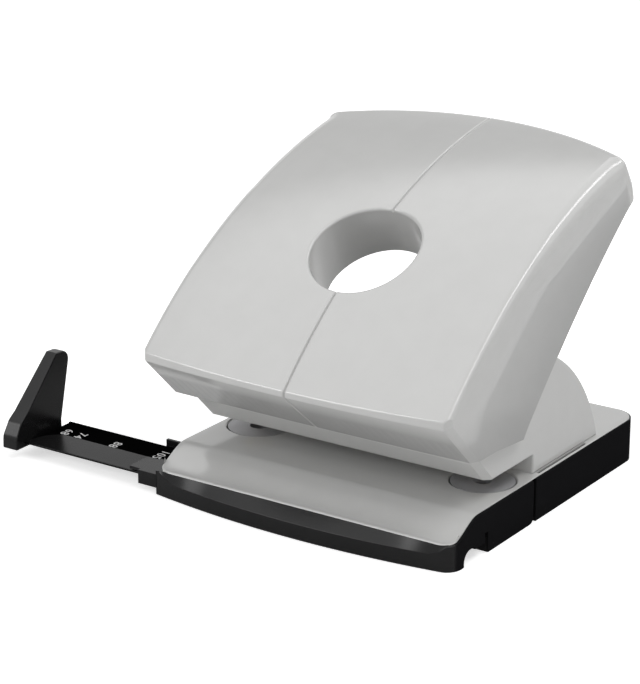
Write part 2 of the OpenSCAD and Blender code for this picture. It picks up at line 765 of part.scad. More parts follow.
module stop_plate() {
    b = rail_z - rail_t;
    y = rail_y0;
    // a low nose in front, the long slope, the rounded tip and the leaning rear edge
    sail = concat([[y - 4.1, b], [y - 4, rail_z + 2], [y - 1.6, rail_z + 6.5], [y + 1.9, rail_z + 9.4]],
                  [[y + rail_w - 6.8, rail_z + 23]],
                  arc([y + rail_w - 3.4, rail_z + 21.2], 3.6, 140, 20, 6),
                  [[y + rail_w, rail_z + 20.5], [y + rail_w - 4.3, b + 4], [y + rail_w - 4.3, b]]);
    color(black) translate([-stop_x - stop_t / 2, 0, 0]) difference() {
        along_x(stop_t) polygon(sail);
        // leaner towards the top, from the outside
        translate([-stop_t / 2, y, rail_z + 3]) rotate([0, 4, 0]) translate([-5, -20, 0]) cube([5, 60, 40]);
    }
}

module rail_holder() {
    y0 = rail_y0 - 1;
    w = rail_w + 2.4;
    color(black) difference() {
        union() {
            translate([holder_left, y0, holder_z0])
                cube([holder_right - holder_left, w, holder_z1 - holder_z0]);
            // reading edge over the rail's front strip
            translate([index_x, y0 + 1.2, rail_z + run]) cube([holder_right - index_x, 9, 1]);
            // rear guide lug
            translate([index_x - 3.2, y0 + w - 1.2, holder_z0]) cube([20, 1.2, rail_z + 2 - holder_z0]);
            for (x = [-38, -8, 26]) translate([x, y0 + 19.5, holder_z1 - 0.2])
                cylinder(r = 3, h = plate_under - holder_z1 + 0.1);
        }
        // channel for the rail
        translate([holder_left - past_end, rail_y0 - run, rail_z - rail_t - run])
            cube([3 * past_end - holder_left, rail_w + 2 * run, rail_t + 2 * run]);
        // open top outside the base
        translate([holder_left - past_end, rail_y0 + 10, rail_z])
            cube([holder_open - holder_left + past_end, rail_w - 9.6, 10]);
        // window for the detent spring
        translate([detent_x, rail_y0 + 6, rail_z]) cube([detent_l, 5, 10]);
    }
}

module detent_spring() {
    color(steel) translate([detent_x + 0.4, rail_y0 + 6.4, rail_z + run]) cube([detent_l - 0.8, 4.2, 0.5]);
}

base_pan();
chip_tray();
cover_plate();
housing();
punch_frame();
die_plate();
guide_bushes();
pivot_axle();
axle_clips();
frame_screws();
rubber_feet();
rail_holder();
detent_spring();
lever_cover();
lever_frame();
press_bar();
cover_screws();
punch_left();
punch_right();
collar_left();
collar_right();
spring_left();
spring_right();
stop_rail();
stop_plate();
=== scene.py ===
# %% [markdown]
# # A two-hole desk punch
#
# A tall grey lever stands open over a paper slot, a black base holds the chip tray, and a flat black
# rail with a sail-shaped stop comes out on the left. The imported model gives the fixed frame: every
# place below is in metres, X along the paper edge, Y to the rear and Z up.

# %% Load the frame
import json
import math

import bmesh
import bpy
import numpy as np
from mathutils import Matrix, Vector


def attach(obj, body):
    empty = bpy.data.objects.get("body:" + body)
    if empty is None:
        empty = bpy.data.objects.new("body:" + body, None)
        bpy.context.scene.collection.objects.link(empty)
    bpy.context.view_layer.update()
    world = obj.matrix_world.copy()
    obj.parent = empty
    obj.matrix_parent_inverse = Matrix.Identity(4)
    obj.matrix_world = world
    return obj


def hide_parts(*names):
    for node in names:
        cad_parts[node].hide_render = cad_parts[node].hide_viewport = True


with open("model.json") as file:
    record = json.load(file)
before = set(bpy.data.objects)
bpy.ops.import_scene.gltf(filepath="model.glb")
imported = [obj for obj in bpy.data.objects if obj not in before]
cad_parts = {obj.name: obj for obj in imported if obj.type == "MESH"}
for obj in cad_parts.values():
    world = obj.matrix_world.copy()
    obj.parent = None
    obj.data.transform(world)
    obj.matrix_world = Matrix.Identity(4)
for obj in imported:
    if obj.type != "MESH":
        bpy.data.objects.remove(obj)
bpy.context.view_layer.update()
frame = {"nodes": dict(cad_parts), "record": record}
MM = 0.001
ARC_STEPS = 5  # faces round each rounded corner of an outline
CRISP = math.radians(30)  # edges sharper than this keep a hard line after a cut

# %% [markdown]
# ## Outlines with round corners
#
# A moulded piece has no sharp edge: the tool that cuts its mould is round. An outline could be drawn
# point by point, but a list of corners with a radius each is easier to change, and it can be drawn in
# evenly, which is what a round rim needs. So one function draws the corners in and one rounds them.


# %% Outline tools
def drawn_in(corners, radii, inset):
    """Corners and radii of an outline whose edges have moved inwards.

    Edge i runs from corner i to corner i + 1 and moves by inset[i] along its inward normal. The new
    corner is where the two moved edges meet: p + (a * along(next) - b * along(previous)) / cross,
    with a and b the two moves. A convex corner loses the move from its radius, a hollow one gains it.
    """
    p = np.asarray(corners, float)
    move = np.broadcast_to(np.asarray(inset, float), len(p))
    along = np.roll(p, -1, 0) - p
    along /= np.maximum(np.linalg.norm(along, axis=1), 1e-12)[:, None]
    before, a, b = np.roll(along, 1, 0), np.roll(move, 1), move
    cross = before[:, 0] * along[:, 1] - before[:, 1] * along[:, 0]
    inward = np.stack([-along[:, 1], along[:, 0]], 1)
    bent = np.abs(cross) > 0.15
    safe = np.where(bent, cross, 1.0)[:, None]
    met = p + (a[:, None] * along - b[:, None] * before) / safe
    flat = p + inward * ((a + b) / 2)[:, None]
    change = np.where(cross > 0, -1.0, 1.0) * (a + b) / 2
    round_by = np.where(np.asarray(radii) > 0, np.maximum(np.asarray(radii) + change, 0.02), 0)
    return np.where(bent[:, None], met, flat), round_by


def rounded(corners, radii, plain, hold=0.25):
    """Points round a closed outline in which each corner that isn't plain is an arc.

    The arc's centre lies on the bisector, radius / sin(half the corner's angle) away, and its points
    are even steps of angle between the two edges it touches. A point `hold` before and after each arc
    keeps the edge beside it flat under smooth shading.
    """
    p = np.asarray(corners, float)
    r = np.where(plain, 1.0, np.maximum(radii, 1e-3))[:, None]
    u = np.roll(p, 1, 0) - p
    v = np.roll(p, -1, 0) - p
    u /= np.maximum(np.linalg.norm(u, axis=1), 1e-12)[:, None]
    v /= np.maximum(np.linalg.norm(v, axis=1), 1e-12)[:, None]
    half = np.arccos(np.clip((u * v).sum(1), -1, 1))[:, None] / 2
    half = np.clip(half, 0.05, np.pi / 2 - 1e-3)
    reach = r / np.tan(half)
    middle = u + v
    middle /= np.maximum(np.linalg.norm(middle, axis=1), 1e-12)[:, None]
    centre = p + middle * (r / np.sin(half))
    first = (p + u * reach - centre) / r
    last = (p + v * reach - centre) / r
    turn = np.pi - 2 * half
    t = np.linspace(0, 1, ARC_STEPS + 1)[None, :]
    w0 = (np.sin((1 - t) * turn) / np.sin(turn))[..., None]
    w1 = (np.sin(t * turn) / np.sin(turn))[..., None]
    arcs = centre[:, None] + r[:, None] * (w0 * first[:, None] + w1 * last[:, None])
    ends = [(p + way * (reach + hold))[:, None] for way in (u, v)]
    grid = np.concatenate([ends[0], arcs, ends[1]], 1)
    grid[plain, 0] = p[plain]
    return grid[kept(plain)]


def kept(plain):
    """Which points of each corner's row are used: one for a plain corner, all for a round one."""
    keep = np.ones((len(plain), ARC_STEPS + 3), bool)
    keep[plain, 1:] = False
    return keep


# %% [markdown]
# ## From grids of points to meshes
#
# A skin is a grid of points: one column after another along X, each column an outline in Y and Z.
# Neighbouring columns are joined by four-sided faces. Points that fall on the same spot are merged,
# so that smooth shading runs across the seams.


# %% Mesh tools
def faces_between(columns, points, closed, first=0):
    """Four-sided faces of a grid of `columns` columns of `points` points, wrapped if closed."""
    a = np.arange(columns - 1)[:, None] * points
    k = np.arange(points if closed else points - 1)[None, :]
    n = (k + 1) % points
    return (first + np.stack([a + k, a + n, a + points + n, a + points + k], -1)).reshape(-1, 4)


def merged(points, faces, within=2e-6):
    """Points with those closer than `within` made one, and the faces' point numbers to match."""
    key = np.round(np.asarray(points) / within).astype(np.int64)
    _, first, new = np.unique(key, axis=0, return_index=True, return_inverse=True)
    new = new.reshape(-1)
    return np.asarray(points)[first], [new[np.asarray(face)] for face in faces]


def tidy_faces(face_arrays, rings=()):
    """Lists for from_pydata: four-sided faces that shrank to triangles lose their doubled corner."""
    result = []
    for quads in face_arrays:
        same = quads == np.roll(quads, -1, 1)
        doubled = same.sum(1)
        result += quads[doubled == 0].tolist()
        once = np.flatnonzero(doubled == 1)
        if len(once):
            start = same[once].argmax(1)
            pick = (start[:, None] + np.array([1, 2, 3])) % 4
            result += np.take_along_axis(quads[once], pick, 1).tolist()
    for ring in rings:
        ring = ring[ring != np.roll(ring, 1)]
        if len(ring) > 2:
            result.append(ring.tolist())
    return result


def mesh_from(name, points, quads, rings):
    """A smooth mesh in metres from points in millimetres, with doubled points made one."""
    points, arrays = merged(np.asarray(points) * MM, [*quads, *rings])
    faces = tidy_faces(arrays[:len(quads)], arrays[len(quads):])
    mesh = bpy.data.meshes.new(name)
    mesh.from_pydata(points.tolist(), [], faces)
    mesh.validate()
    mesh.shade_smooth()
    return mesh


def from_object(obj):
    """The mesh of an object with its modifiers applied."""
    return bpy.data.meshes.new_from_object(obj.evaluated_get(bpy.context.evaluated_depsgraph_get()))


def cut(mesh, cutters):
    """The mesh with the cutters' bodies taken away and its sharp edges kept crisp."""
    holder = bpy.data.objects.new("holder", mesh)
    bpy.context.scene.collection.objects.link(holder)
    tools = []
    for tool_mesh in cutters:
        tool = bpy.data.objects.new("tool", tool_mesh)
        bpy.context.scene.collection.objects.link(tool)
        away = holder.modifiers.new("cut", "BOOLEAN")
        away.operation, away.solver, away.object = "DIFFERENCE", "EXACT", tool
        tools.append(tool)
    result = from_object(holder)
    for obj in (holder, *tools):
        bpy.data.objects.remove(obj)
    result.name = mesh.name
    result.set_sharp_from_angle(angle=CRISP)
    return result


def turned(centre, profile, segments=72):
    """A body of revolution round the upright line through `centre`, from an (r, z) profile that starts
    and ends on it: x = cx + r cos(a), y = cy + r sin(a)."""
    a = np.linspace(0, 2 * np.pi, segments, endpoint=False)
    r, z = np.asarray(profile, float).T[:, :, None]
    grid = np.stack([centre[0] + r * np.cos(a), centre[1] + r * np.sin(a), z + 0 * a], -1)
    return mesh_from("turned", grid.reshape(-1, 3), [faces_between(len(r), segments, True)], [])


def prism(outline, low, high, axis=2):
    """A cutting tool: an anticlockwise flat outline carried from low to high along Z, or along X if
    axis is 0."""
    flat = np.asarray(outline, float)
    n = len(flat)
    grid = np.stack([np.c_[flat, np.full(n, level)] for level in (low, high)])
    if axis == 0:
        grid = grid[:, :, [2, 0, 1]]
    rings = [np.arange(n)[::-1], np.arange(n) + n]
    return mesh_from("prism", grid.reshape(-1, 3), [faces_between(2, n, True)], rings)


def slab(x, y, z):
    """A box between the pairs x, y and z, as a cutting tool."""
    return prism([[x[0], y[0]], [x[1], y[0]], [x[1], y[1]], [x[0], y[1]]], *z)


def piece(name, points, quads, rings, body, slot, paint, nodes):
    """A finished piece from points in millimetres."""
    return placed(name, mesh_from(name, points, quads, rings), body, paint, nodes)


def placed(name, mesh, body, paint, nodes):
    """A mesh as a finished piece that rides on its CAD body."""
    mesh.materials.clear()
    mesh.materials.append(paint)
    obj = bpy.data.objects.new(name, mesh)
    bpy.context.scene.collection.objects.link(obj)
    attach(obj, body)
    if nodes:
        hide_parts(*nodes)
    print(name, len(mesh.vertices), "points,", len(mesh.polygons), "faces")
    return obj


def skin(xs, corners, radii, insets, closed_edges=None, hold=0.25):
    """A grid of outlines along X: points, four-sided faces, the two end rings, each point's corner.

    Column c stands at xs[c] (or at xs[c][i] for corner i) and is the outline corners[c] drawn in by
    insets[c]. Edges not in closed_edges stay open, as on a cover's underside.
    """
    count, edges = len(insets), len(radii)
    plain = np.asarray(radii) == 0
    owner = np.repeat(np.arange(edges), kept(plain).sum(1))
    rows = []
    for c in range(count):
        yz = rounded(*drawn_in(corners[c], radii, insets[c]), plain, hold)
        rows.append(np.c_[np.broadcast_to(xs[c], edges)[owner], yz])
    grid = np.array(rows)
    n = grid.shape[1]
    quads = faces_between(count, n, True)
    if closed_edges is not None:
        last = np.r_[owner[1:] != owner[:-1], True]
        used = np.where(last, np.asarray(closed_edges)[owner], True)
        quads = quads[np.tile(used, count - 1)]
    rings = [np.arange(n)[::-1], np.arange(n) + n * (count - 1)]
    return grid, quads, rings, owner


def thick(outer, inner, quads, rings):
    """A wall: the outer skin, the inner skin turned over, and a strip joining every open edge to it.

    Both skins share one numbering. An edge a-b that only one face uses gets the face b, a, a', b',
    with a' and b' the same points on the inner skin.
    """
    count = len(outer)
    _, (same, *_) = merged(outer * MM, [np.arange(count)])
    loops = [quads] + [np.stack([r, np.roll(r, -1)], 1) for r in rings]
    a = np.concatenate([quads.ravel()] + [r[:, 0] for r in loops[1:]])
    b = np.concatenate([np.roll(quads, -1, 1).ravel()] + [r[:, 1] for r in loops[1:]])
    there, back = same[a] * count + same[b], same[b] * count + same[a]
    free = ~np.isin(there, back) & (same[a] != same[b])
    a, b = a[free], b[free]
    strip = np.stack([b, a, a + count, b + count], 1)
    inside = quads[:, ::-1] + count
    points = np.concatenate([outer, inner])
    return points, [quads, inside, strip], [*rings, *[r[::-1] + count for r in rings]]


def round_end(x, half, r):
    """How far an end rounded by r draws an edge in at x: r - sqrt(r^2 - (|x| - (half - r))^2)."""
    past = np.clip(np.abs(x) - (half - r), 0, r)
    return r - np.sqrt(np.maximum(r * r - past * past, 0))


def end_columns(half, radii, steps=5):
    """Places along X that follow round ends of the given radii, mirrored about the middle."""
    a = np.linspace(0, np.pi / 2, steps + 1)
    right = np.concatenate([half - r * (1 - np.sin(a)) for r in radii])
    right = np.unique(np.round(right, 4))
    return np.unique(np.r_[-right, right])


def carried(corners, radii, x0, x1, rim, hold):
    """A closed (y, z) outline carried along X from x0 to x1, with a round rim at both ends.

    x0 and x1 are numbers, or one for each corner. Past the rim the sides stay flat for `hold`.
    """
    a = np.linspace(0, np.pi / 2, 5)
    side = np.r_[0, rim * (1 - np.cos(a)), rim + hold][:, None]
    inset = np.r_[rim + hold, rim * (1 - np.sin(a)), 0]
    even = np.zeros(len(corners))
    xs = np.concatenate([x0 + side + even, (x1 - side + even)[::-1]])
    grid, quads, rings, _ = skin(xs, [corners] * len(xs), radii, np.r_[inset, inset[::-1]])
    return grid.reshape(-1, 3), [quads], rings


# %% [markdown]
# ## Finishes
#
# The cover and the housing are glossy injection-moulded plastic. Real moulded plastic isn't a perfect
# mirror: its skin has a very fine orange-peel ripple, and handling leaves faint duller patches. Each
# finish is one Principled shader whose roughness and bump come from noise on Object coordinates, so it
# stays put on the piece when the camera or the lever moves.


# %% Finish tools
def linear(r, g, b):
    """A colour written as on a screen (sRGB, 0 to 1) turned into linear light, with full opacity."""
    c = np.array([r, g, b], float)
    return (*np.where(c <= 0.04045, c / 12.92, ((c + 0.055) / 1.055) ** 2.4).tolist(), 1.0)


def between(nodes, links, share, low, high, start=0.0, stop=1.0, kind="LINEAR"):
    """low where share is `start` and high where it is `stop`; low and high are numbers or outputs."""
    ramp = nodes.new("ShaderNodeMapRange")
    ramp.interpolation_type = kind
    ramp.inputs["From Min"].default_value = start
    ramp.inputs["From Max"].default_value = stop
    links.new(share, ramp.inputs["Value"])
    for name, value in (("To Min", low), ("To Max", high)):
        if isinstance(value, float):
            ramp.inputs[name].default_value = value
        else:
            links.new(value, ramp.inputs[name])
    return ramp.outputs["Result"]


def math_node(nodes, links, kind, *values, clamp=False):
    """One Math node on numbers or outputs."""
    node = nodes.new("ShaderNodeMath")
    node.operation, node.use_clamp = kind, clamp
    for slot, value in zip(node.inputs, values):
        if isinstance(value, (int, float)):
            slot.default_value = value
        else:
            links.new(value, slot)
    return node.outputs[0]


def side_walls(nodes, links, place):
    """0 where |x| is below 51.6 mm and 1 where it is over 52 mm, on the outer side walls."""
    xyz = nodes.new("ShaderNodeSeparateXYZ")
    links.new(place, xyz.inputs[0])
    aside = math_node(nodes, links, "ABSOLUTE", xyz.outputs["X"])
    past = math_node(nodes, links, "SUBTRACT", aside, 51.6 * MM)
    return math_node(nodes, links, "DIVIDE", past, 0.4 * MM, clamp=True)


def painted_rail_shadow(nodes, links, place):
    """1 on the rail's lane under its painted shadow: behind y = -51.9 + 11.9 sqrt(1 - u^2), u = (-97 -
    x) / 8.
    """
    def step(kind, *values, clamp=False):
        return math_node(nodes, links, kind, *values, clamp=clamp)

    xyz = nodes.new("ShaderNodeSeparateXYZ")
    links.new(place, xyz.inputs[0])
    u = step("DIVIDE", step("SUBTRACT", -97 * MM, xyz.outputs["X"]), 8 * MM, clamp=True)
    arc = step("SQRT", step("SUBTRACT", 1.0, step("MULTIPLY", u, u)))
    edge = step("MULTIPLY_ADD", arc, 11.9 * MM, -51.9 * MM)
    return step("DIVIDE", step("SUBTRACT", xyz.outputs["Y"], edge), 0.25 * MM, clamp=True)


RIPPLE_SCALE, RIPPLE_DEEP = 900.0, 0.00005  # the fine ripple, and its depth in metres
HAZE_SCALE, SPECK_SCALE = 60.0, 138.0  # the duller patches and the darker specks
NOISE_LOW, NOISE_HIGH = 0.3, 0.7  # where nearly all values of the noise lie


def finish(name, colour, gloss, metal=0.0, ripple=0.0, haze=0.04, stretch=(1, 1, 1), speck=0.0,
           shine=0.5, dull=None, deep=0.4):
    """A finish: base colour with specks, roughness `gloss` varied by `haze`, a fine ripple as bump.

    `dull` makes the share, from 0 to 1 over the piece, of its surface that is matt and whose colour is
    multiplied by `deep`.
    """
    mat = bpy.data.materials.new(name)
    mat.use_nodes = True
    nodes, links = mat.node_tree.nodes, mat.node_tree.links
    shader = nodes["Principled BSDF"]
    shader.inputs["Metallic"].default_value = metal
    shader.inputs["Specular IOR Level"].default_value = shine
    place = nodes.new("ShaderNodeTexCoord")
    size = nodes.new("ShaderNodeMapping")
    size.inputs["Scale"].default_value = stretch
    links.new(place.outputs["Object"], size.inputs["Vector"])

    def noise(scale, detail):
        n = nodes.new("ShaderNodeTexNoise")
        n.inputs["Scale"].default_value = scale
        n.inputs["Detail"].default_value = detail
        links.new(size.outputs["Vector"], n.inputs["Vector"])
        return n.outputs["Fac"]

    def mixed(share, first, second):
        mix = nodes.new("ShaderNodeMix")
        mix.data_type = "RGBA"
        links.new(share, mix.inputs["Factor"])
        if isinstance(first, tuple):
            mix.inputs["A"].default_value = first
        else:
            links.new(first, mix.inputs["A"])
        mix.inputs["B"].default_value = second
        return mix.outputs["Result"]

    rough = between(nodes, links, noise(HAZE_SCALE, 3), gloss - haze / 2, gloss + haze / 2,
                    NOISE_LOW, NOISE_HIGH)
    links.new(rough, shader.inputs["Roughness"])
    specks = between(nodes, links, noise(SPECK_SCALE, 4), 0.0, 1.0, NOISE_LOW, NOISE_HIGH)
    paint = mixed(specks, linear(*colour), linear(*[c * (1 - speck) for c in colour]))
    if dull:
        share = dull(nodes, links, place.outputs["Object"])
        links.new(between(nodes, links, share, shine, 0.0), shader.inputs["Specular IOR Level"])
        paint = mixed(share, paint, linear(*[c * deep for c in colour]))
    links.new(paint, shader.inputs["Base Color"])
    if ripple:
        bump = nodes.new("ShaderNodeBump")
        bump.inputs["Strength"].default_value = ripple
        bump.inputs["Distance"].default_value = RIPPLE_DEEP
        links.new(noise(RIPPLE_SCALE, 2), bump.inputs["Height"])
        links.new(bump.outputs["Normal"], shader.inputs["Normal"])
    return mat


grey = finish("pearl grey gloss plastic", (0.80, 0.80, 0.795), 0.15, ripple=0.1, speck=0.012,
              shine=0.7)
dark, moulded = (0.065, 0.065, 0.068), dict(ripple=0.12, haze=0.05, speck=0.05)
black = finish("black gloss plastic", dark, 0.24, shine=0.25, **moulded)
walled = finish("black gloss plastic, matt side walls", dark, 0.24, shine=0.25, dull=side_walls,
                deep=1.6, **moulded)
# the rail's rear lane is made matt and darkened to 0.4 of its colour: a painted shadow that widens
# near the stop plate
rail_black_painted_shadow = finish("black gloss plastic, painted shadow on the matt lane", dark, 0.24, shine=0.12, dull=painted_rail_shadow, **moulded)
ink = finish("white printing ink", (0.95, 0.95, 0.95), 0.5, ripple=0.2, haze=0.1, speck=0.1)
rubber = finish("matt black rubber", (0.16, 0.16, 0.16), 0.8, ripple=0.8, haze=0.1, speck=0.15)
steel = dict(metal=1.0, haze=0.1)
zinc = finish("zinc plated steel", (0.74, 0.75, 0.76), 0.32, metal=1.0, ripple=0.4, haze=0.16,
              speck=0.12)
ground = finish("ground steel", (0.70, 0.70, 0.71), 0.2, ripple=0.5, stretch=(8, 1, 1), **steel)
wire = finish("bright spring steel", (0.62, 0.63, 0.66), 0.25, ripple=0.2, speck=0.1, **steel)
satin = finish("phosphated die steel", (0.68, 0.68, 0.69), 0.42, metal=0.2, ripple=0.3, haze=0.1,
               speck=0.05)
brass = finish("turned brass", (0.80, 0.68, 0.40), 0.28, ripple=0.3, speck=0.1, **steel)
print(len(bpy.data.materials), "finishes")

# %% [markdown]
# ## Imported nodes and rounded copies
#
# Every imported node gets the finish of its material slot, for what shows through a gap has to look
# right too. The rear base and the rail's holder keep their packed form: the loose triangles of a copy
# are merged into faces and a narrow bevel rounds its edges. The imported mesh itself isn't touched.

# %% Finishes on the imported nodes
by_slot = {"grey_plastic": grey, "black_plastic": black, "foot_rubber": rubber, "zinc_steel": zinc,
           "hard_steel": ground, "spring_steel": wire, "bush_brass": brass}
by_node = {"die_plate": satin}
for part in frame["record"]["subparts"]:
    paint = by_node.get(part["node"], by_slot[part["material_slot"]])
    node = frame["nodes"][part["node"]]
    node.data.materials.clear()
    node.data.materials.append(paint)


# %% Rounded copies
def dressed(node, body, paint, rim):
    """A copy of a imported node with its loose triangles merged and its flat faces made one.

    Edges that bend by more than 28 degrees are rounded by `rim` millimetres.
    """
    sharp = math.radians(28)
    mesh = frame["nodes"][node].data.copy()
    mesh.name = node + "_dressed"
    bm = bmesh.new()
    bm.from_mesh(mesh)
    bmesh.ops.remove_doubles(bm, verts=bm.verts, dist=2e-6)
    bmesh.ops.dissolve_limit(bm, angle_limit=math.radians(0.4), verts=bm.verts, edges=bm.edges)
    bm.normal_update()
    weight = bm.edges.layers.float.new("bevel_weight_edge")
    for edge in bm.edges:
        if len(edge.link_faces) == 2 and edge.calc_face_angle() > sharp:
            edge[weight] = 1.0
    bm.to_mesh(mesh)
    bm.free()
    mesh.set_sharp_from_angle(angle=sharp)
    obj = placed(node + "_dressed", mesh, body, paint, [node])
    soft = obj.modifiers.new("rim", "BEVEL")
    soft.width, soft.segments, soft.limit_method = rim * MM, 3, "WEIGHT"


dressed("base_pan", "base", walled, 0.6)
dressed("rail_holder", "base", black, 0.3)

# %% [markdown]
# ## The paper plate
#
# The grey plate that the paper slides over rolls down in an S-curve at the front and has a wide soft
# rim along its sides. The two dies stand in round windows, each with a narrow chamfer that catches
# the light. The plate is a skin along X; the windows are cut out of it afterwards.

# %% Sizes of the paper plate, in millimetres
half_plate, half_flange, flange_t = 50.2, 51.7, 0.28
plate_y0, plate_y1, plate_front_r, plate_rear_r = -53.5, 57.4, 4.0, 7.2
curve_l, curve_points, plate_low, plate_rise = 14.0, 24, 8.4, 5.3
plate_z, plate_t, lap = 13.7, 2.0, 1.4
rim_w, rim_d = 3.0, 0.18
punch_x, punch_y = 40, -17.1
bay = (-47.8, 47.8)  # the housing's inside, along X


# %% The plate's outline at each column
def s_curve(y, low):
    """Heights over the front curve: low + rise * t^2 (3 - 2 t), with t from 0 at its start to 1."""
    t = np.clip((y - plate_y0) / curve_l, 0, 1)
    return low + plate_rise * t * t * (3 - 2 * t)


def plate_outline(x):
    """Outline of the plate at x, with a thin flange over the top of the rear wall."""
    front = plate_y0 + round_end(x, half_flange, plate_front_r)
    rear = plate_y1 - round_end(x, half_flange, plate_rear_r)
    y = front + (plate_y0 + curve_l - front) * np.linspace(0, 1, curve_points)
    top = np.stack([y, s_curve(y, plate_low)], 1)
    end = [[rear - lap, plate_z - plate_t], [rear - lap, plate_z - flange_t],
           [rear, plate_z - flange_t], [rear, plate_z]]
    return np.concatenate([top - [0, plate_t], end, top[::-1]])


def at_punches(profile):
    """Cutting tools: the turned body of an (r, z) profile round each punch's line."""
    return [turned((side * punch_x, punch_y), profile) for side in (-1, 1)]


# %% The paper plate
plate_x = end_columns(half_flange, [rim_w, plate_front_r, plate_rear_r])
plate_x = np.abs(np.r_[plate_x, half_plate - 0.01, half_plate + 0.01])
plate_x = np.unique(np.round(plate_x, 4))
plate_x = np.r_[-plate_x[::-1], plate_x]
corners = 2 * curve_points + 4
edge = np.arange(corners)
is_bottom, is_top = edge < curve_points, (edge >= curve_points + 3) & (edge < corners - 1)
plate_r = np.zeros(corners)
plate_r[curve_points + 3], plate_r[-1] = 0.1, 1.1
plate_in = [np.where(is_top, round_end(x, half_flange, rim_w) * rim_d / rim_w, 0)
            + np.where(is_bottom & (abs(x) > half_plate), plate_t - flange_t, 0) for x in plate_x]
grid, quads, rings, _ = skin(plate_x, [plate_outline(x) for x in plate_x], plate_r, plate_in)
plate_mesh = mesh_from("paper_plate", grid.reshape(-1, 3), [quads], rings)
# the two windows with their chamfers, a slot on each side of the housing, and the throat's way
cuts = at_punches([[0, 5], [9.9, 5], [9.9, 13.3], [10.4, 13.8], [10.4, 16], [0, 16]])
cuts += [slab(x, (-3.5, 25.5), (12.5, 15)) for x in ((50.05, 51.0), (-51.0, -50.05))]
cuts += [slab(bay, (-2.9, -0.3), (5, 16))]
placed("paper_plate", cut(plate_mesh, cuts), "base", grey, ["cover_plate"])
print("paper plate", len(plate_x), "columns")

# %% [markdown]
# ## The stop rail and its numbers
#
# The rail is a thin flat bar with a stiffening web below, set back from its front edge. Its rear lane
# is matt, darkened by a painted shadow of the body that widens near the stop plate, and carries plain
# numbers: how far the stop stands from the middle, in millimetres, when the number meets the holder's
# edge. They are real letters of the built-in font, made into flat bodies a few hundredths of a
# millimetre thick, like screen-printed ink.

# %% The stop rail
rail = [[-46.6, 3.2], [-29.7, 3.2], [-29.7, 5.0], [-30.7, 5.0], [-30.7, 4.7], [-40.2, 4.7],
        [-40.2, 5.0], [-51.9, 5.0], [-51.9, 4.4], [-46.6, 4.4]]
rail_r = [0.2, 0.3, 0.3, 0, 0, 0, 0.08, 0.22, 0.15, 0]
bar = carried(rail, rail_r, -105.0, 0.0, rim=0.1, hold=0.1)
piece("stop_rail_bar", *bar, "rail", "black_plastic", rail_black_painted_shadow, ["stop_rail"])

# %% The numbers on the rail
letter_h, letter_gap, ink_t, lane_y, lane_z = 4.3, 1.1, 0.03, -39.7, 4.73
quarter_turn = Matrix.Rotation(-math.pi / 2, 4, "Z")
for number, x in (("68", -100.1), ("74", -94.6), ("88", -80.6), ("105", -63.6)):
    text = bpy.data.curves.new("number", "FONT")
    text.body, text.size, text.extrude, text.resolution_u = number, letter_h * MM, ink_t * MM, 4
    text.align_x, text.align_y, text.space_character = "RIGHT", "CENTER", letter_gap
    lettered = bpy.data.objects.new("number", text)
    bpy.context.scene.collection.objects.link(lettered)
    mesh = from_object(lettered)
    bpy.data.objects.remove(lettered)
    mesh.transform(Matrix.Translation(Vector((x, lane_y, lane_z)) * MM) @ quarter_turn)
    placed("number_" + number, mesh, "rail", ink, [])

# %% [markdown]
# ## The stop plate
#
# The sail-shaped plate at the rail's end is what the paper's edge rests against. Its outer face leans
# in above the rail, so each corner of its outline has a place of its own along X.

# %% The stop plate
sail = np.array([[-56.0, 3.2], [-34.0, 3.2], [-34.0, 7.2], [-28.9, 29.2], [-35.7, 29.6],
                 [-50.0, 14.4], [-53.5, 11.5], [-55.9, 7.0]])
sail_r = [0.5, 0.4, 2.0, 3.0, 0.8, 7.0, 4.0, 4.0]
sail_x0, sail_x1, lean_from, lean = -110.6, -104.9, 8, math.tan(math.radians(4))
outer_face = sail_x0 + np.maximum(sail[:, 1] - lean_from, 0) * lean
plate = carried(sail, sail_r, outer_face, sail_x1, rim=0.4, hold=0.2)
piece("stop_sail", *plate, "rail", "black_plastic", black, ["stop_plate"])

# %% [markdown]
# ## The chip tray
#
# The black tray is one moulding: its bowed front ends in a crisp ridge, a strip slopes up from there
# to the plate, and its side walls follow the plate's S-curve. Each column across it is one side
# outline; the hollow, the way for the rail and the finger recess are cut out afterwards.

# %% Sizes of the chip tray, in millimetres
half_base, base_y0, front_bow, corner_x = 52.3, -58.1, 300, 47.2
tray_y1, tray_z, tray_low, ridge_z = -8.0, 13.4, 8.1, 5.0
corner_y0 = base_y0 + 47.3 ** 2 / (2 * front_bow)
left_r, right_r, tray_rim = 1.5, 5.0, 0.6
hollow_x, hollow_y, hollow_r, floor_t, above = 50.5, -53.8, 3.3, 1.4, 20
recess_y, recess_z, recess_r = -44.3, 1.2, 3.2


# %% The chip tray
def tray_outline(x):
    """Outline of the tray at x; the front is a circle of radius b, y0 + b - sqrt(b^2 - x^2)."""
    corner = corner_y0 + round_end(x, half_base, left_r if x < 0 else right_r)
    front = base_y0 + front_bow - math.sqrt(front_bow ** 2 - x * x)
    front = max(front, corner) if abs(x) > corner_x else front
    start = max(plate_y0 - 0.3, front + 0.4)
    y = start + (plate_y0 + curve_l - start) * np.linspace(0, 1, curve_points)
    top = np.stack([y, s_curve(y, tray_low)], 1)
    # towards the round corners the ridge rises until it meets the strip above it
    ridge = ridge_z + (top[0, 1] - 0.4 - ridge_z) * np.clip((front + 54.6) / 0.8, 0, 1)
    return np.concatenate([[[front, 0], [tray_y1, 0], [tray_y1, tray_z]], top[::-1], [[front, ridge]]])


